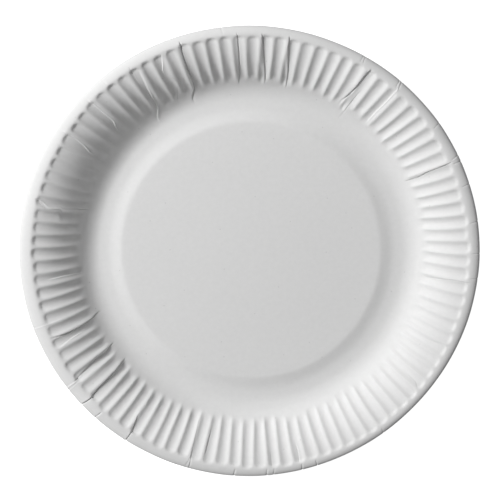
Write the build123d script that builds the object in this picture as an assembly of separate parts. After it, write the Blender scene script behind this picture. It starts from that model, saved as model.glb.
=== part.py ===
from build123d import *

import math
import os

import numpy as np

# Round pressed-board plate, 23 cm class, one sheet of board pressed hot between dies.
# Frame: +Z up, origin on the surface the plate stands on, at the plate's centre.
# The plate stands on a narrow flat ring. Inside that ring the board steps up to a
# flat round centre; outside it a curved wall rises to a rim whose edge is curled down.
# The wall carries evenly pitched radial flutes: concave grooves with narrow crests,
# which take up the spare board that a flat blank has when it is drawn into a dish.

# ---- driving dimensions, mm and degrees ------------------------------------------
BOARD_T = 0.45          # board thickness
RIM_R = 115.0           # radius over the curled edge
CENTRE_R = 65.0         # flat centre ends here
FLUTES = 100            # grooves round the wall
FLUTE_DEPTH = 0.95      # crest to groove bottom, square to the wall
CREST_SHARPNESS = 0.17  # second harmonic: 0 is a sine wave, 0.25 a flat-bottomed groove

# Wall section: slope of the board, degrees, against the length run along the section
# from the edge of the flat centre. Negative slopes run down going outwards.
SECTION = [
    (0.0, 0.0),
    (1.1, -1.6),
    (2.0, -8.5),
    (3.0, -13.6),
    (4.2, -14.2),
    (5.8, -12.8),
    (7.5, -9.4),
    (9.2, -3.2),
    (10.8, 0.0),        # start of the flat ring the plate stands on
    (13.0, 0.0),        # end of the flat ring
    (15.5, 12.0),
    (18.1, 21.0),
    (20.7, 33.5),
    (23.0, 42.0),
    (24.9, 48.5),
    (26.6, 52.0),       # steepest part of the wall
    (28.3, 51.0),
    (30.2, 47.5),
    (32.3, 44.5),
    (34.9, 41.0),
    (37.5, 38.0),
    (40.6, 34.0),
    (43.7, 29.2),
    (46.8, 24.2),
    (49.4, 20.5),
    (50.9, 16.0),
    (51.9, 10.0),
    (52.6, 2.0),        # just short of the rim's top
    (53.5, -6.0),
    (54.5, -13.0),
    (55.4, -20.0),
    (56.3, -30.0),
    (57.1, -44.0),
    (57.9, -61.0),
    (58.7, -80.0),      # curled edge
]
# Depth of the flutes along the same length, as a share of FLUTE_DEPTH.
FLUTE_START = (23.3, 29.6)   # they fade in between these two lengths
FLUTE_END = (49.8, 52.4)     # they end in a short rounded wall between these two


# ---- section curve -----------------------------------------------------------------
def monotone_slopes(xs, ys):
    """Fritsch-Carlson tangents for a C1 cubic through the stations."""
    n = len(xs)
    d = [(ys[i + 1] - ys[i]) / (xs[i + 1] - xs[i]) for i in range(n - 1)]
    m = [d[0]] + [0.0] * (n - 2) + [d[-1]]
    for i in range(1, n - 1):
        if d[i - 1] * d[i] > 0:
            w1 = 2 * (xs[i + 1] - xs[i]) + (xs[i] - xs[i - 1])
            w2 = (xs[i + 1] - xs[i]) + 2 * (xs[i] - xs[i - 1])
            m[i] = (w1 + w2) / (w1 / d[i - 1] + w2 / d[i])
    return m


XS = [p[0] for p in SECTION]
YS = [p[1] for p in SECTION]
MS = monotone_slopes(XS, YS)
MS[0] = 0.0


def slope_at(l):
    """Slope of the board in radians at length l along the section."""
    i = max(j for j in range(len(XS) - 1) if XS[j] <= l + 1e-12)
    h = XS[i + 1] - XS[i]
    t = (l - XS[i]) / h
    v = (
        (1 + 2 * t) * (1 - t) ** 2 * YS[i]
        + t * (1 - t) ** 2 * h * MS[i]
        + t * t * (3 - 2 * t) * YS[i + 1]
        + t * t * (t - 1) * h * MS[i + 1]
    )
    return math.radians(v)


STEP = 0.01
LENGTH = XS[-1]
N = int(round(LENGTH / STEP))
run = [CENTRE_R]
rise = [0.0]
for k in range(N):
    s = slope_at((k + 0.5) * STEP)
    run.append(run[-1] + math.cos(s) * STEP)
    rise.append(rise[-1] + math.sin(s) * STEP)
# the section ends at the full radius, and its lowest face is on the ground plane
stretch = (RIM_R - CENTRE_R) / (run[-1] - CENTRE_R)
run = [CENTRE_R + (r - CENTRE_R) * stretch for r in run]
rise = [z * stretch for z in rise]
lift = BOARD_T - min(rise[: int(20 / STEP)])
rise = [z + lift for z in rise]
CENTRE_Z = rise[0]


def smooth(t):
    t = min(1.0, max(0.0, t))
    return t * t * t * (10 - 15 * t + 6 * t * t)


def flute_share(l):
    a = smooth((l - FLUTE_START[0]) / (FLUTE_START[1] - FLUTE_START[0]))
    b = 1 - smooth((l - FLUTE_END[0]) / (FLUTE_END[1] - FLUTE_END[0]))
    return a * b


def section(l, face):
    """(radius, height, flute shift outwards, flute shift downwards) on the top face, 0, or the underside, 1."""
    i = min(int(l / STEP), N - 1)
    t = l / STEP - i
    s = slope_at(l)
    r = run[i] * (1 - t) + run[i + 1] * t
    z = rise[i] * (1 - t) + rise[i + 1] * t
    d = FLUTE_DEPTH * flute_share(l)
    return (
        r + face * BOARD_T * math.sin(s),
        z - face * BOARD_T * math.cos(s),
        d * math.sin(s),
        d * math.cos(s),
    )


def groove(turn):
    """0 on a crest (turn 0 and 1), 1 at the bottom of a groove (turn 0.5)."""
    x = 2 * math.pi * turn
    return (1 - math.cos(x) + CREST_SHARPNESS * (1 - math.cos(2 * x))) / 2


# ---- patches -----------------------------------------------------------------------
def to_bezier(values, degree):
    """Control values of the polynomial of that degree that runs through values, given at its own nodes."""
    t = nodes(degree)
    basis = np.array(
        [[math.comb(degree, j) * x**j * (1 - x) ** (degree - j) for j in range(degree + 1)] for x in t]
    )
    return np.linalg.solve(basis, np.array(values, float))


def nodes(degree):
    return [(1 - math.cos(math.pi * i / degree)) / 2 for i in range(degree + 1)]


PITCH = 2 * math.pi / FLUTES
ROUND_DEGREE, FLUTED_DEGREE = 4, 12


def around(sector, fluted):
    """Control values across one pitch: cosine, sine, groove, groove x cosine, groove x sine."""
    degree = FLUTED_DEGREE if fluted else ROUND_DEGREE
    t = nodes(degree)
    a = [PITCH * (sector + x) for x in t]
    g = [groove(x) if fluted else 0.0 for x in t]
    g[0] = g[-1] = 0.0
    rows = [
        [math.cos(v) for v in a],
        [math.sin(v) for v in a],
        g,
        [p * math.cos(v) for p, v in zip(g, a)],
        [p * math.sin(v) for p, v in zip(g, a)],
    ]
    return [to_bezier(row, degree) for row in rows]


def patch(sector, start, end, face, degree, fluted=False):
    """One pitch of the board between two lengths of the section, as a single smooth patch."""
    c, s, g, gc, gs = around(sector, fluted)
    at = [section(start + (end - start) * x, face) for x in nodes(degree)]
    r, z, out, down = (to_bezier([p[q] for p in at], degree) for q in range(4))
    return Face.make_bezier_surface(
        [
            [
                (r[j] * c[i] + out[j] * gc[i], r[j] * s[i] + out[j] * gs[i], z[j] - down[j] * g[i])
                for j in range(degree + 1)
            ]
            for i in range(len(c))
        ]
    )


def ring_edges(length, face):
    """The circle that patches share at a length of the section, one edge for each pitch."""
    r, z = section(length, face)[:2]
    edges = []
    for k in range(FLUTES):
        c, s = around(k, False)[:2]
        edges.append(Edge.make_bezier(*[(r * p, r * q, z) for p, q in zip(c, s)]))
    return edges


FOOT = (10.8, 13.0)                      # flat ring, lengths along the section
SPANS = [
    (0.0, FOOT[0], 12, False),
    (FOOT[1], FLUTE_START[0], 10, False),
    (FLUTE_START[0], FLUTE_START[1], 12, True),
    (FLUTE_START[1], FLUTE_END[0], 12, True),
    (FLUTE_END[0], FLUTE_END[1], 12, True),
    (FLUTE_END[1], LENGTH, 10, False),
]

faces = []
for face in (0, 1):
    for start, end, degree, fluted in SPANS:
        faces += [patch(k, start, end, face, degree, fluted) for k in range(FLUTES)]
    faces.append(Face(Wire(ring_edges(0.0, face))))
    faces.append(Face(Wire(ring_edges(FOOT[1], face)), [Wire(ring_edges(FOOT[0], face))]))
# the cut edge of the board
r_top, z_top = section(LENGTH, 0)[:2]
r_low, z_low = section(LENGTH, 1)[:2]
for k in range(FLUTES):
    c, s = around(k, False)[:2]
    faces.append(
        Face.make_bezier_surface(
            [[(r_top * p, r_top * q, z_top), (r_low * p, r_low * q, z_low)] for p, q in zip(c, s)]
        )
    )

plate = Solid(Shell(faces))
if plate.volume < 0:
    plate = Solid(plate.wrapped.Reversed())
print("volume", plate.volume, "valid", plate.is_valid, plate.bounding_box())
print("centre top", CENTRE_Z, "rim top", max(rise), "foot radius", section(FOOT[0], 1)[0], section(FOOT[1], 1)[0])

os.makedirs("parts", exist_ok=True)
export_step(plate, "parts/plate.step")
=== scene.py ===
import math

import bpy
import numpy as np
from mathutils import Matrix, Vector


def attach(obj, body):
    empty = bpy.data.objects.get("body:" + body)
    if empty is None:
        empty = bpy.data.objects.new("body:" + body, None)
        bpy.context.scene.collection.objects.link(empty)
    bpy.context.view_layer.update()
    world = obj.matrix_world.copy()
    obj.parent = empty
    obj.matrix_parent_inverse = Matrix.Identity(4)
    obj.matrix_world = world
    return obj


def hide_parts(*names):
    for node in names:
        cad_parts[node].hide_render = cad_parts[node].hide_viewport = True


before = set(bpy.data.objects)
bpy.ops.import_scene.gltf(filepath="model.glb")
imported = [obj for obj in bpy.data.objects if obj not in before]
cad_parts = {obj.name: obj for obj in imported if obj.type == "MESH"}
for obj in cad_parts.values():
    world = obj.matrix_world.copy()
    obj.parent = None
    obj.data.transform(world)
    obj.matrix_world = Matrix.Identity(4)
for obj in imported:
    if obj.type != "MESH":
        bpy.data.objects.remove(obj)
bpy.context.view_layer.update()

# Paper plate: one sheet of white board pressed into a dish. The mesh is the board's real surface on both
# sides, in millimetres until the last step, with the flutes, the random creases, the nicked rim and the
# cut edge. Angles are degrees round the plate, lengths run along its section from the flat centre outwards.

rng = np.random.RandomState(23)

# ---------------------------------------------------------------- the plate's section, as in the CAD, but with the
# outer wall 1 to 3 degrees flatter, a slope set by how the wall shades and not measured in any other way
BOARD_T = 0.45
RIM_R = 115.0
CENTRE_R = 65.0
FLUTES = 100
FLUTE_DEPTH = 0.95
SECTION = [
    (0, 0), (1.1, -1.6), (2, -8.5), (3, -13.6), (4.2, -14.2), (5.8, -12.8), (7.5, -9.4), (9.2, -3.2), (10.8, 0),
    (13.0, 0.0), (15.5, 12), (18.1, 21), (20.7, 33.5), (23, 42), (24.9, 48.5), (26.6, 52), (28.3, 51),
    (30.2, 47.5), (32.3, 44.5), (34.9, 40.2), (37.5, 36.3), (40.6, 31.6), (43.7, 26.6), (46.8, 21.8), (49.4, 18.4),
    (50.9, 16), (51.9, 10), (52.6, 2), (53.5, -6), (54.5, -13), (55.4, -20), (56.3, -30), (57.1, -44), (57.9, -61),
    (58.7, -80),
]
FLUTE_START = (23.0, 29.6)
FLUTE_END = (50.0, 52.8)
PATTERN_SHIFT = (0.91, 0.11)      # the blank went into the die this far off centre
OVAL = (0.0052, 14.0)             # the rim is this much out of round, along this direction


def monotone(xs, ys):
    """Fritsch-Carlson tangents."""
    d = np.diff(ys) / np.diff(xs)
    m = np.zeros(len(xs))
    m[0], m[-1] = 0.0, d[-1]
    for i in range(1, len(xs) - 1):
        if d[i - 1] * d[i] > 0:
            w1 = 2 * (xs[i + 1] - xs[i]) + (xs[i] - xs[i - 1])
            w2 = (xs[i + 1] - xs[i]) + 2 * (xs[i] - xs[i - 1])
            m[i] = (w1 + w2) / (w1 / d[i - 1] + w2 / d[i])
    return m


XS = np.array([p[0] for p in SECTION])
YS = np.array([p[1] for p in SECTION])
MS = monotone(XS, YS)
LENGTH = XS[-1]
STEP = 0.01


def slope(l):
    """The board's slope in radians at lengths l."""
    l = np.asarray(l, float)
    i = np.clip(np.searchsorted(XS, l, side="right") - 1, 0, len(XS) - 2)
    h = XS[i + 1] - XS[i]
    t = (l - XS[i]) / h
    v = ((1 + 2 * t) * (1 - t) ** 2 * YS[i] + t * (1 - t) ** 2 * h * MS[i]
         + t * t * (3 - 2 * t) * YS[i + 1] + t * t * (t - 1) * h * MS[i + 1])
    return np.radians(v)


mids = (np.arange(int(round(LENGTH / STEP))) + 0.5) * STEP
RUN = np.r_[0, np.cumsum(np.cos(slope(mids))) * STEP]
RISE = np.r_[0, np.cumsum(np.sin(slope(mids))) * STEP]
stretch = (RIM_R - CENTRE_R) / RUN[-1]
RUN = CENTRE_R + RUN * stretch
RISE = RISE * stretch
RISE = RISE + BOARD_T - RISE[: int(20 / STEP)].min()
LS = np.arange(len(RUN)) * STEP


def length_at(radius):
    return np.interp(radius, RUN, LS)


def smooth(t):
    t = np.clip(t, 0, 1)
    return t * t * t * (10 - 15 * t + 6 * t * t)


# ---------------------------------------------------------------- flutes
# One groove: from a crest the wall falls away over CREST of the pitch, and the valley between is an arc.
CREST = 0.175
tt = np.linspace(0, 1, 2001)
fall = np.where(tt < CREST, -np.sin(math.pi / 2 * tt / CREST),
                np.where(tt > 1 - CREST, np.sin(math.pi / 2 * (1 - tt) / CREST), -(0.5 - tt) / (0.5 - CREST)))
GROOVE = np.r_[0, np.cumsum((fall[1:] + fall[:-1]) / 2)]
GROOVE = -GROOVE / np.abs(GROOVE).max()
GROOVE = GROOVE / GROOVE[1000]

PITCH = 360.0 / FLUTES
crest_at = np.arange(FLUTES + 1) * PITCH
jitter = rng.normal(0, 0.06, FLUTES)
crest_at[:FLUTES] += jitter
crest_at[FLUTES] = crest_at[0] + 360
lean = rng.normal(0, 0.006, FLUTES)             # degrees a millimetre along the flute
lean = np.r_[lean, lean[0]]
depth_of = 1 + rng.normal(0, 0.09, FLUTES)      # each groove's depth
end_of = rng.normal(0, 0.35, FLUTES)            # where each groove ends, mm
start_of = rng.normal(0, 0.8, FLUTES)
crest_height = rng.normal(0, 0.03, FLUTES)
crest_height = np.r_[crest_height, crest_height[0]]
sway = rng.uniform(0, 2 * math.pi, FLUTES + 1)  # each crest line wavers a little along its length
sway[FLUTES] = sway[0]
swell = rng.uniform(0, 2 * math.pi, FLUTES)     # and so does each groove's depth


def flutes(l, a):
    """Depth of the fluting at length l and angles a."""
    a = np.mod(a, 360.0)
    edges = crest_at + lean * (l - 38) + 0.06 * np.sin(l / 5.2 + sway)
    a = np.where(a < edges[0], a + 360, a)
    k = np.clip(np.searchsorted(edges, a, side="right") - 1, 0, FLUTES - 1)
    t = (a - edges[k]) / (edges[k + 1] - edges[k])
    g = np.interp(t, tt, GROOVE)
    share = (smooth((l - FLUTE_START[0] - start_of[k]) / (FLUTE_START[1] - FLUTE_START[0]))
             * (1 - smooth((l - FLUTE_END[0] - end_of[k] + 2.0 * np.abs(2 * t - 1) ** 2.6) / (FLUTE_END[1] - FLUTE_END[0]))))
    share = share * (1 + 0.07 * np.sin(l / 4.1 + swell[k]))
    crest = (crest_height[k] * (1 - t) + crest_height[k + 1] * t) * share
    return FLUTE_DEPTH * depth_of[k] * share * g + crest


# ---------------------------------------------------------------- creases
# Where the spare board folded over itself instead of filling a flute. Each has points (angle, radius), the
# side that stands proud (+1: the side of larger angles), the step in height, a pinched groove along it
# (negative: a ridge), its half width and how far the step's warp reaches, all in millimetres.
CREASES = [
    ([(24.65, 109.7), (24.67, 102.2), (24.72, 97.6), (24.0, 91.6), (24.13, 87.4)], 1, 0.42, 0.35, 0.16, 1.2),
    ([(56.47, 109.8), (56.96, 104.7), (57.12, 100.0), (57.53, 95.3), (58.71, 88.6)], 1, 0.55, 0.5, 0.24, 1.5),
    ([(55.62, 97.6), (55.78, 92.0), (55.84, 85.7), (56.1, 82.7)], 1, 0.22, 0.15, 0.16, 0.8),
    ([(78.86, 110.3), (78.69, 104.7), (78.13, 99.6), (77.45, 93.4), (77.06, 86.6)], 1, 0.5, 0.34, 0.17, 1.6),
    ([(85.78, 109.9), (85.52, 103.8), (85.08, 98.2), (84.45, 92.5), (84.21, 87.7)], 1, 0.5, 0.34, 0.17, 1.6),
    ([(92.11, 110.4), (92.1, 100.2), (92.21, 93.6), (92.78, 86.8)], 1, 0.34, 0.4, 0.17, 1.0),
    ([(106.64, 111.5), (107.15, 106.0), (107.38, 98.5), (107.26, 91.0), (107.74, 87.6), (108.72, 85.7), (109.5, 83.3)], 1, 0.45, 0.6, 0.19, 1.2),
    ([(120.96, 110.9), (121.49, 105.3), (121.49, 100.7)], 1, 0.25, 0.25, 0.16, 1.0),
    ([(119.33, 106.2), (119.73, 100.6), (120.47, 94.1), (121.21, 87.5), (123.72, 82.8)], -1, 0.75, -0.14, 0.3, 1.1),
    ([(112.29, 108.4), (113.01, 104.7), (113.95, 101.4)], -1, 0.5, -0.12, 0.24, 0.9),
    ([(112.06, 91.6), (114.4, 85.4)], 1, 0.1, 0.05, 0.2, 1.0),
    ([(134.32, 110.7), (134.2, 103.2), (134.21, 95.4), (135.63, 91.7)], -1, 0.62, -0.18, 0.28, 1.0),
    ([(144.67, 110.9), (144.52, 104.3), (145.07, 99.2), (146.18, 94.7)], -1, 0.66, -0.2, 0.28, 1.0),
    ([(147.87, 110.0), (148.32, 104.8)], -1, 0.24, -0.1, 0.22, 0.9),
    ([(163.33, 110.1), (164.23, 106.4), (165.58, 102.7), (164.89, 97.7), (164.34, 90.5), (164.04, 85.6)], -1, 0.42, -0.16, 0.24, 0.9),
    ([(164.6, 108.2), (165.75, 103.6)], 1, 0.22, 0.16, 0.2, 0.9),
    ([(164.95, 98.6), (167.78, 96.8)], 1, 0.1, 0.05, 0.2, 0.9),
    ([(185.7, 101.2), (185.58, 95.0), (185.78, 88.2)], 1, 0.45, -0.12, 0.24, 0.9),
    ([(197.87, 116.1), (197.6, 109.3), (197.57, 102.8)], 1, 0.14, -0.05, 0.2, 0.8),
    ([(201.5, 108.8), (201.84, 104.5), (202.16, 99.1), (202.09, 94.0), (201.64, 89.4), (200.84, 85.6)], -1, 0.48, 0.42, 0.18, 1.4),
    ([(204.72, 106.8), (203.94, 100.0), (203.84, 94.8)], 1, 0.3, -0.1, 0.22, 0.9),
    ([(214.6, 109.8), (214.02, 103.7), (213.41, 98.9), (213.14, 95.0), (213.46, 90.9), (212.73, 87.2)], -1, 0.52, 0.48, 0.18, 1.4),
    ([(215.21, 115.7), (214.69, 107.9), (213.93, 102.8)], 1, 0.26, -0.14, 0.2, 0.7),
    ([(216.11, 115.2), (215.4, 108.8)], 1, 0.14, -0.06, 0.18, 0.7),
    ([(220.67, 115.0), (220.88, 109.1), (220.3, 103.5), (220.19, 98.2), (220.1, 92.3), (219.61, 87.2)], -1, 0.58, 0.55, 0.19, 1.4),
    ([(235.45, 115.0), (235.1, 108.1), (234.59, 104.0), (234.1, 101.3)], -1, 0.4, 0.45, 0.17, 1.0),
    ([(252.11, 113.3), (252.48, 107.5), (252.36, 101.6), (251.87, 91.2)], -1, 0.22, 0.06, 0.16, 0.9),
    ([(253.26, 114.0), (252.8, 109.4), (252.48, 105.7)], -1, 0.22, 0.25, 0.16, 0.7),
    ([(256.22, 104.7), (256.3, 100.2), (256.5, 95.1)], -1, 0.26, 0.25, 0.16, 0.9),
    ([(282.37, 108.8), (282.64, 104.2), (282.49, 101.0)], 1, 0.22, 0.22, 0.16, 0.9),
    ([(274.84, 108.9), (274.79, 103.4)], -1, 0.14, 0.1, 0.3, 0.9),
    ([(320.72, 108.0), (321.71, 105.3), (322.0, 100.8)], -1, 0.16, 0.1, 0.16, 0.8),
    ([(334.82, 110.3), (334.36, 104.6), (333.8, 99.6)], 1, 0.14, 0.1, 0.16, 0.8),
    ([(352.37, 110.2), (352.45, 101.7), (351.57, 90.6)], 1, 0.26, 0.2, 0.16, 0.9),
    ([(48.08, 110.7), (48.06, 102.3), (48.12, 95.3), (47.82, 88.6)], -1, 0.34, -0.18, 0.26, 0.9),
    ([(39.99, 91.5), (39.68, 86.8)], -1, 0.1, -0.05, 0.22, 0.9),
    ([(55.1, 110.2), (55.7, 106.5)], 1, 0.14, 0.08, 0.16, 0.7),
]
# Hollows beside some of them, in the same terms.
POCKETS = [
    ([(79.11, 99.1), (78.73, 93.4), (78.15, 86.6)], 1, 0.0, 0.42, 0.85, 1.0),
    ([(86.27, 96.4), (85.94, 91.6), (85.52, 86.7)], 1, 0.0, 0.4, 0.8, 1.0),
    ([(57.88, 98.1), (57.47, 92.4), (56.84, 85.7)], 1, 0.0, 0.5, 0.8, 1.0),
]
# Short pinches across the rim: angle, depth, half width, lean (degrees from the inside to the edge), side, step.
NICKS = [
    (8.0, 0.16, 0.22, 0.3, 1, 0.12), (17.7, 0.18, 0.2, 0.1, 1, 0.12), (24.0, 0.2, 0.2, -0.3, 1, 0.1),
    (25.1, 0.2, 0.2, 0.3, -1, 0.1), (34.4, 0.16, 0.2, 0.2, 1, 0.12), (47.9, 0.2, 0.2, 0.3, 1, 0.12),
    (48.7, 0.18, 0.2, 0.1, -1, 0.08), (59.0, 0.16, 0.2, -0.1, 1, 0.1), (59.8, 0.14, 0.2, -0.4, 1, 0.08),
    (225.6, 0.3, 0.22, 0.0, -1, 0.12), (265.1, 0.24, 0.3, 0.1, -1, 0.1), (273.7, 0.24, 0.3, 0.1, 1, 0.12),
    (275.6, 0.2, 0.24, -0.2, -1, 0.12), (283.1, 0.26, 0.22, 0.0, 1, 0.14), (286.9, 0.26, 0.22, 0.2, -1, 0.16),
    (306.5, 0.16, 0.24, -0.2, -1, 0.12), (353.6, 0.18, 0.24, 0.2, 1, 0.14), (0.1, 0.16, 0.2, 0.1, 1, 0.12),
    (95.6, 0.1, 0.3, 0.0, 1, 0.05), (128.2, 0.08, 0.25, 0.0, 1, 0.05),
]


class Crease:
    def __init__(self, points, side, drop, pinch, width, reach):
        points = sorted(points, key=lambda p: p[1])
        self.l = length_at(np.array([p[1] for p in points]))
        self.a = np.array([p[0] for p in points])
        self.side, self.drop, self.pinch, self.width, self.reach = side, drop, pinch, width, reach
        self.start, self.end = self.l[0], self.l[-1]
        self.mid = float(np.interp((self.start + self.end) / 2, self.l, self.a))
        self.ends = (2.2, 0.3 if self.end > LENGTH - 1 else 1.2)

    def angle(self, l):
        return float(np.interp(l, self.l, self.a))

    def share(self, l):
        if l < self.start - self.ends[0] or l > self.end + self.ends[1]:
            return 0.0
        s = smooth((l - self.start + self.ends[0]) / (2.2 * self.ends[0]))
        e = 1.0 if self.end > LENGTH - 1 else 1 - smooth((l - self.end + self.ends[1]) / (2 * self.ends[1]))
        return float(s * e)

    def depth(self, l, a, r):
        """How far the board's surface drops, at length l, angles a and radius r."""
        f = self.share(l)
        if f == 0.0:
            return 0.0
        x = ((a - self.angle(l) + 180) % 360 - 180) * math.pi / 180 * r
        step = np.tanh(x / (0.75 * self.width)) * np.exp(-np.abs(x) / self.reach)
        pinch = np.exp(-(x / (1.25 * self.width)) ** 2)
        return f * (-self.side * 0.5 * self.drop * step + self.pinch * pinch)


creases = [Crease(*c) for c in CREASES]
for angle, depth, width, lean_deg, side, step in NICKS:
    c = Crease([(angle, 110.6), (angle + lean_deg, 115.0)], side, step, depth, width, 0.6)
    c.ends = (1.0, 0.3)
    creases.append(c)
pockets = [Crease(*c) for c in POCKETS]

# ---------------------------------------------------------------- the grid of the upper side
# Columns run from the centre to the edge. They crowd at the crests of the flutes and follow each crease.
offsets = [0, 0.2, 0.42, 0.72, 1.15, 1.8, 2.45, 2.88, 3.18, 3.4]
base = (np.arange(FLUTES)[:, None] * PITCH + np.array(offsets)[None, :]).ravel()
near = np.array([-1.3, -0.8, -0.5, -0.3, -0.15, 0.0, 0.15, 0.3, 0.5, 0.8, 1.3]) / 100 * 180 / math.pi
columns = list(base)
for c in creases:
    columns = [v for v in columns if abs((v - c.mid + 180) % 360 - 180) > 0.78]
fixed = []
for c in creases:
    fixed += [(c.mid + d) % 360 for d in near]
columns = np.array(sorted(columns + fixed))
keep = [columns[0]]
for v in columns[1:]:
    if v - keep[-1] > 0.05:
        keep.append(v)
columns = np.array(keep)
while len(columns) % 4:
    gaps = np.diff(np.r_[columns, columns[0] + 360])
    i = int(np.argmax(gaps))
    columns = np.sort(np.r_[columns, (columns[i] + gaps[i] / 2) % 360])
N = len(columns)
LEAST_GAP = 0.03


def column_angles(l):
    """Where the columns pass at length l: they bend so that they run along the creases, and never cross."""
    total, weight = np.zeros(N), np.full(N, 1e-9)
    for c in creases:
        shift = c.angle(l) - c.mid
        live = float(smooth((l - c.start + 10) / 8) * (1 - smooth((l - c.end - 2) / 8)))
        x = np.abs((columns - c.mid + 180) % 360 - 180)
        near_it = live * (1 - smooth((x - 0.8) / max(2.6, 2.6 * abs(shift))))
        total += near_it ** 2 * shift
        weight += near_it
    a = columns + total / np.maximum(weight, 1.0)
    a = np.r_[a - 360, a, a + 360]
    ahead, back = a.copy(), a.copy()
    for i in range(1, len(a)):
        ahead[i] = max(a[i], ahead[i - 1] + LEAST_GAP)
    for i in range(len(a) - 2, -1, -1):
        back[i] = min(a[i], back[i + 1] - LEAST_GAP)
    return ((ahead + back) / 2)[N: 2 * N]


def board(l, a, fine=1.0, face=0):
    """Points of the board's upper face, 0, or lower face, 1, at length l and angles a."""
    s = float(slope(l))
    r, z = float(np.interp(l, LS, RUN)), float(np.interp(l, LS, RISE))
    d = flutes(l, a) if FLUTE_START[0] - 4 < l < FLUTE_END[1] + 2 else np.zeros(len(a))
    for c in creases + pockets:
        d = d + fine * c.depth(l, a, r)
    # the dies leave the wall a little uneven from flute to flute
    d = d + 0.05 * smooth((l - 14) / 10) * wander(a, l)
    d = d + face * BOARD_T
    rr = r + d * math.sin(s)
    zz = z - d * math.cos(s)
    return place(rr, zz, a, l)


wander_terms = [(int(m), rng.uniform(0, 2 * math.pi), rng.normal(0, 1) / math.sqrt(1 + m / 12), rng.uniform(-0.1, 0.1))
                for m in rng.randint(3, 46, 26)]


def wander(a, l):
    t = np.radians(a)
    return sum(w * np.sin(m * t + p + q * l) for m, p, w, q in wander_terms) / 3.0


# how far the trimmed edge is off the oval, mm, every 30 degrees
EDGE = np.array([0.0, -0.15, -0.40, -0.30, 0.0, 0.0, 0.05, -0.25, -0.15, -0.05, -0.45, -0.50])
EDGE_WAVES = np.fft.rfft(EDGE) / 12
LIP_TILT = (7.0, 150.0)           # the lip turns down this much more, degrees, on this side, and as much less opposite


def edge_off(t):
    return EDGE_WAVES[0].real + sum(2 * (EDGE_WAVES[m] * np.exp(1j * m * t)).real for m in range(1, 6))


def place(rr, zz, a, l):
    t = np.radians(a)
    rim = float(smooth((l - 50.0) / (LENGTH - 50.0)))
    oval = 1 + rim * OVAL[0] * np.cos(2 * (t - math.radians(OVAL[1])))
    rr = rr * oval + rim * edge_off(t)
    x = rr * np.cos(t) + PATTERN_SHIFT[0] * (1 - rim)
    y = rr * np.sin(t) + PATTERN_SHIFT[1] * (1 - rim)
    over = np.clip(l, 52.2, 57.0)
    over = (over - 52.2) - 0.4 * (1 - math.exp(-(over - 52.2) / 0.4))
    zz = zz - math.tan(math.radians(LIP_TILT[0])) * over * np.cos(t - math.radians(LIP_TILT[1]))
    # a faint warp, as card takes up when it is unpacked
    w = (np.hypot(x, y) / RIM_R) ** 3
    z = zz + w * (0.10 * np.cos(2 * t + 0.7) + 0.06 * np.cos(3 * t + 2.1))
    return np.c_[x, y, z]


verts, faces = [], []


def add(points):
    first = sum(len(v) for v in verts)
    verts.append(np.asarray(points, float))
    return np.arange(first, first + len(points))


def strip(inner, outer, up=True):
    """Faces between two rings. The outer may have the same number of points as the inner, or twice as many, or half."""
    n, m = len(inner), len(outer)
    out = []
    if n == m:
        j = np.roll(inner, -1)
        k = np.roll(outer, -1)
        for p, q, s, t in zip(inner, outer, k, j):
            out.append((p, q, s, t))
    elif m == 2 * n:
        for i in range(n):
            p, p2 = inner[i], inner[(i + 1) % n]
            q0, q1, q2 = outer[2 * i], outer[2 * i + 1], outer[(2 * i + 2) % m]
            out += [(p, q0, q1), (p, q1, p2), (p2, q1, q2)]
    elif n == 2 * m:
        for i in range(m):
            q, q2 = outer[i], outer[(i + 1) % m]
            p0, p1, p2 = inner[2 * i], inner[2 * i + 1], inner[(2 * i + 2) % n]
            out += [(p0, q, p1), (p1, q, q2), (p1, q2, p2)]
    if not up:
        out = [tuple(reversed(f)) for f in out]
    faces.extend(out)


def flat_centre(ring_angles, face, radii):
    """The flat centre, from its own centre out to the ring at length 0."""
    z = float(np.interp(0, LS, RISE)) - face * BOARD_T
    rings = []
    for r in radii:
        t = np.radians(ring_angles)
        x, y = r * np.cos(t), r * np.sin(t)
        h = z + centre_wave(x, y)
        rings.append(add(np.c_[x + PATTERN_SHIFT[0], y + PATTERN_SHIFT[1], h]))
    return rings


def centre_wave(x, y):
    """The centre is a hair out of flat."""
    r = np.hypot(x, y)
    fade = 1 - smooth((r - 46) / 16)
    return fade * 0.05 * (np.sin(x / 19 + 0.6) * np.cos(y / 23 - 0.4) + 0.5 * np.sin((x + y) / 13 + 1.1))


# upper side: rings from the edge inwards, then the flat centre
wall = np.r_[np.array([LENGTH, 58.3, 57.9, 57.5, 57.1, 56.7, 56.25, 55.8, 55.3, 54.7, 54.1, 53.6]),
             np.arange(53.15, 47.8, -0.41), np.array([47.4, 46.4, 45.1, 43.4, 41.6, 39.7, 37.8, 35.9, 34.0,
                                                      32.1, 30.4, 28.8, 27.3, 25.9, 24.6, 23.3])]
inner = np.array([22.0, 20.6, 19.1, 17.5, 15.8, 14.0, 12.2, 10.5, 9.1, 7.8, 6.5, 5.3, 4.2, 3.2, 2.2, 1.2, 0.4])
rings = []
for l in wall:
    rings.append(add(board(l, column_angles(l))))
half = slice(None, None, 2)
for l in inner:
    rings.append(add(board(l, column_angles(l)[half])))
quarter = slice(None, None, 4)
centre_rings = flat_centre(columns[quarter], 0, [62.5, 60, 56.5, 52, 46, 39, 32, 25, 18, 11, 5])
rings += centre_rings
for o, i in zip(rings[:-1], rings[1:]):
    strip(i, o)
mid = add([[PATTERN_SHIFT[0], PATTERN_SHIFT[1], float(np.interp(0, LS, RISE)) + float(centre_wave(np.array([0.0]), np.array([0.0]))[0])]])
last = rings[-1]
for p, q in zip(last, np.roll(last, -1)):
    faces.append((mid[0], p, q))
top_edge = rings[0]

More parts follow.
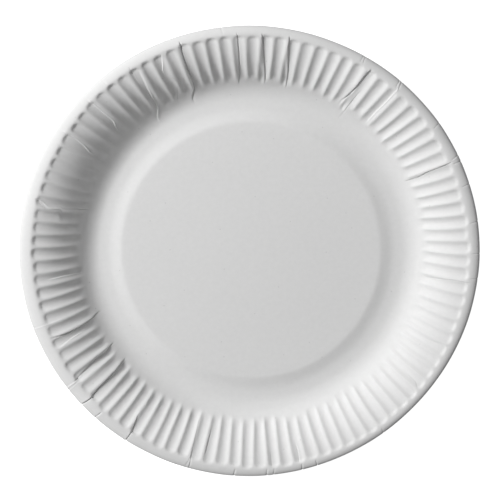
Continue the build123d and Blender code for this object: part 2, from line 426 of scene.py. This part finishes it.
# lower side, half the columns
wall2 = np.array([LENGTH, 58.2, 57.5, 56.8, 56.0, 55.1, 54.2, 53.4, 52.6, 51.8, 51.0, 50.2, 49.2, 47.6, 45.2, 42.2,
                  39.0, 35.8, 32.6, 29.8, 27.6, 25.4, 23.3])
inner2 = np.array([20.8, 18.4, 15.8, 13.0, 10.2, 7.6, 5.2, 3.0, 1.0])
rings2 = []
for l in wall2:
    rings2.append(add(board(l, column_angles(l)[half], 0.8, 1)))
for l in inner2:
    rings2.append(add(board(l, column_angles(l)[quarter], 0.8, 1)))
rings2 += flat_centre(columns[quarter], 1, [62, 57, 49, 38, 26, 14, 6])
for o, i in zip(rings2[:-1], rings2[1:]):
    strip(i, o, up=False)
mid2 = add([[PATTERN_SHIFT[0], PATTERN_SHIFT[1], float(np.interp(0, LS, RISE)) - BOARD_T + float(centre_wave(np.array([0.0]), np.array([0.0]))[0])]])
last = rings2[-1]
for p, q in zip(last, np.roll(last, -1)):
    faces.append((mid2[0], q, p))
# the cut edge of the board, from the lower side's edge to the upper side's
low_edge = rings2[0]
strip(top_edge, low_edge)

points = np.concatenate(verts)
points[:, 2] -= min(0.0, points[:, 2].min())
mesh = bpy.data.meshes.new("plate_board")
mesh.from_pydata([tuple(p) for p in points / 1000.0], [], [tuple(int(i) for i in f) for f in faces])
mesh.update()
mesh.polygons.foreach_set("use_smooth", [True] * len(mesh.polygons))
edge_set = {frozenset((int(a), int(b))) for ring in (top_edge, low_edge) for a, b in zip(ring, np.roll(ring, -1))}
for e in mesh.edges:
    if frozenset(e.vertices) in edge_set:
        e.use_edge_sharp = True
mesh.validate()
plate = bpy.data.objects.new("plate_board", mesh)
bpy.context.scene.collection.objects.link(plate)
tris = sum(len(p.vertices) - 2 for p in mesh.polygons)
print("columns", N, "triangles", tris, "lowest mm", points[:, 2].min(), "highest mm", points[:, 2].max())

# ---------------------------------------------------------------- material: uncoated white board
mat = bpy.data.materials.new("white_paperboard")
mat.use_nodes = True
nt = mat.node_tree
nodes, links = nt.nodes, nt.links
bsdf = nodes["Principled BSDF"]
bsdf.inputs["Roughness"].default_value = 0.86
bsdf.inputs["Specular IOR Level"].default_value = 0.22
coords = nodes.new("ShaderNodeTexCoord")


def noise(scale, detail, rough):
    n = nodes.new("ShaderNodeTexNoise")
    n.inputs["Scale"].default_value = scale
    n.inputs["Detail"].default_value = detail
    n.inputs["Roughness"].default_value = rough
    links.new(coords.outputs["Object"], n.inputs["Vector"])
    return n


cloud = noise(420, 5, 0.62)         # the sheet's cloudy formation, a couple of millimetres across
fibre = noise(1500, 4, 0.7)         # fibres
ramp = nodes.new("ShaderNodeValToRGB")
ramp.color_ramp.elements[0].position = 0.3
ramp.color_ramp.elements[0].color = (0.772, 0.772, 0.770, 1)
ramp.color_ramp.elements[1].position = 0.7
ramp.color_ramp.elements[1].color = (0.800, 0.800, 0.798, 1)
links.new(cloud.outputs["Fac"], ramp.inputs["Fac"])
# a few faint specks in the stock, some 25 mm apart
specks = nodes.new("ShaderNodeTexVoronoi")
specks.voronoi_dimensions = "2D"
specks.inputs["Scale"].default_value = 40
links.new(coords.outputs["Object"], specks.inputs["Vector"])
spot = nodes.new("ShaderNodeMapRange")
spot.inputs["From Min"].default_value = 0.006
spot.inputs["From Max"].default_value = 0.016
spot.inputs["To Min"].default_value = 0.84
spot.inputs["To Max"].default_value = 1.0
links.new(specks.outputs["Distance"], spot.inputs["Value"])
tone = nodes.new("ShaderNodeMix")
tone.data_type = "RGBA"
tone.blend_type = "MULTIPLY"
tone.inputs["Factor"].default_value = 1.0
links.new(ramp.outputs["Color"], tone.inputs["A"])
links.new(spot.outputs["Result"], tone.inputs["B"])
links.new(tone.outputs["Result"], bsdf.inputs["Base Color"])
bump = nodes.new("ShaderNodeBump")
bump.inputs["Strength"].default_value = 0.25
bump.inputs["Distance"].default_value = 0.00005
links.new(fibre.outputs["Fac"], bump.inputs["Height"])
links.new(bump.outputs["Normal"], bsdf.inputs["Normal"])
plate.data.materials.append(mat)

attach(plate, "root")
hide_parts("plate")

# ---------------------------------------------------------------- floor, light, camera
floor_mesh = bpy.data.meshes.new("floor")
S = 3.0
floor_mesh.from_pydata([(-S, -S, 0), (S, -S, 0), (S, S, 0), (-S, S, 0)], [], [(0, 1, 2, 3)])
floor = bpy.data.objects.new("floor", floor_mesh)
bpy.context.scene.collection.objects.link(floor)
floor.location.z = -0.00005
fm = bpy.data.materials.new("pale_floor")
fm.use_nodes = True
fb = fm.node_tree.nodes["Principled BSDF"]
fb.inputs["Base Color"].default_value = (0.93, 0.93, 0.93, 1)
fb.inputs["Roughness"].default_value = 0.9
fb.inputs["Specular IOR Level"].default_value = 0.0
fb.inputs["Emission Color"].default_value = (1, 1, 1, 1)
fb.inputs["Emission Strength"].default_value = 0.86
floor_mesh.materials.append(fm)
floor.visible_diffuse = False      # the floor takes shadows but throws no light back up at the plate
floor.visible_glossy = False

TURN = math.radians(-1.06)          # the flutes' first crest lies on +X


def turned(v):
    x, y, z = v
    return Vector((x * math.cos(TURN) - y * math.sin(TURN), x * math.sin(TURN) + y * math.cos(TURN), z))


LIGHT_AZIMUTH, LIGHT_ELEVATION, LIGHT_DISTANCE, LIGHT_SIZE, LIGHT_POWER = 152.0, 40.0, 1.4, 0.42, 18.7
la, le = math.radians(LIGHT_AZIMUTH), math.radians(LIGHT_ELEVATION)
light_data = bpy.data.lights.new("softbox", "AREA")
light_data.shape = "DISK"
light_data.size = LIGHT_SIZE
light_data.energy = LIGHT_POWER
light = bpy.data.objects.new("softbox", light_data)
bpy.context.scene.collection.objects.link(light)
light.location = turned((LIGHT_DISTANCE * math.cos(le) * math.cos(la), LIGHT_DISTANCE * math.cos(le) * math.sin(la), LIGHT_DISTANCE * math.sin(le)))
light.rotation_euler = (Vector((0, 0, 0)) - light.location).to_track_quat("-Z", "Y").to_euler()

world = bpy.data.worlds.new("studio")
bpy.context.scene.world = world
world.use_nodes = True
background = world.node_tree.nodes["Background"]
background.inputs["Color"].default_value = (1, 1, 1, 1)
# a soft room: dim overhead, brighter towards the white walls and table
sky = world.node_tree
direction = sky.nodes.new("ShaderNodeTexCoord")
split = sky.nodes.new("ShaderNodeSeparateXYZ")
level = sky.nodes.new("ShaderNodeMapRange")
level.inputs["From Min"].default_value = 0.0
level.inputs["From Max"].default_value = 0.7
level.inputs["To Min"].default_value = 0.37
level.inputs["To Max"].default_value = 0.137
sky.links.new(direction.outputs["Generated"], split.inputs["Vector"])
sky.links.new(split.outputs["Z"], level.inputs["Value"])
sky.links.new(level.outputs["Result"], background.inputs["Strength"])

CAM_DISTANCE, TILT_Y, TILT_X = 0.600, 0.154323, 0.019973
cam_data = bpy.data.cameras.new("camera")
cam_data.lens = 36 * 1161.41 / 500
cam_data.sensor_width = 36
cam_data.shift_x = -(250.83 - 250) / 500
cam_data.shift_y = (251.52 - 250) / 500
cam_data.clip_start = 0.01
cam = bpy.data.objects.new("camera", cam_data)
bpy.context.scene.collection.objects.link(cam)
n = Vector((math.sin(TILT_X) * math.cos(TILT_Y), math.sin(TILT_Y), math.cos(TILT_Y) * math.cos(TILT_X)))
right = Vector((0, 1, 0)).cross(n).normalized()
up = n.cross(right)
n, right, up = turned(n), turned(right), turned(up)
shift = Vector((PATTERN_SHIFT[0] / 1000, PATTERN_SHIFT[1] / 1000, 0))
m = cam.matrix_world.copy()
for i in range(3):
    m[i][0], m[i][1], m[i][2] = right[i], up[i], n[i]
    m[i][3] = (n * CAM_DISTANCE + shift)[i]
cam.matrix_world = m
bpy.context.scene.camera = cam
bpy.context.scene.view_settings.view_transform = "Standard"
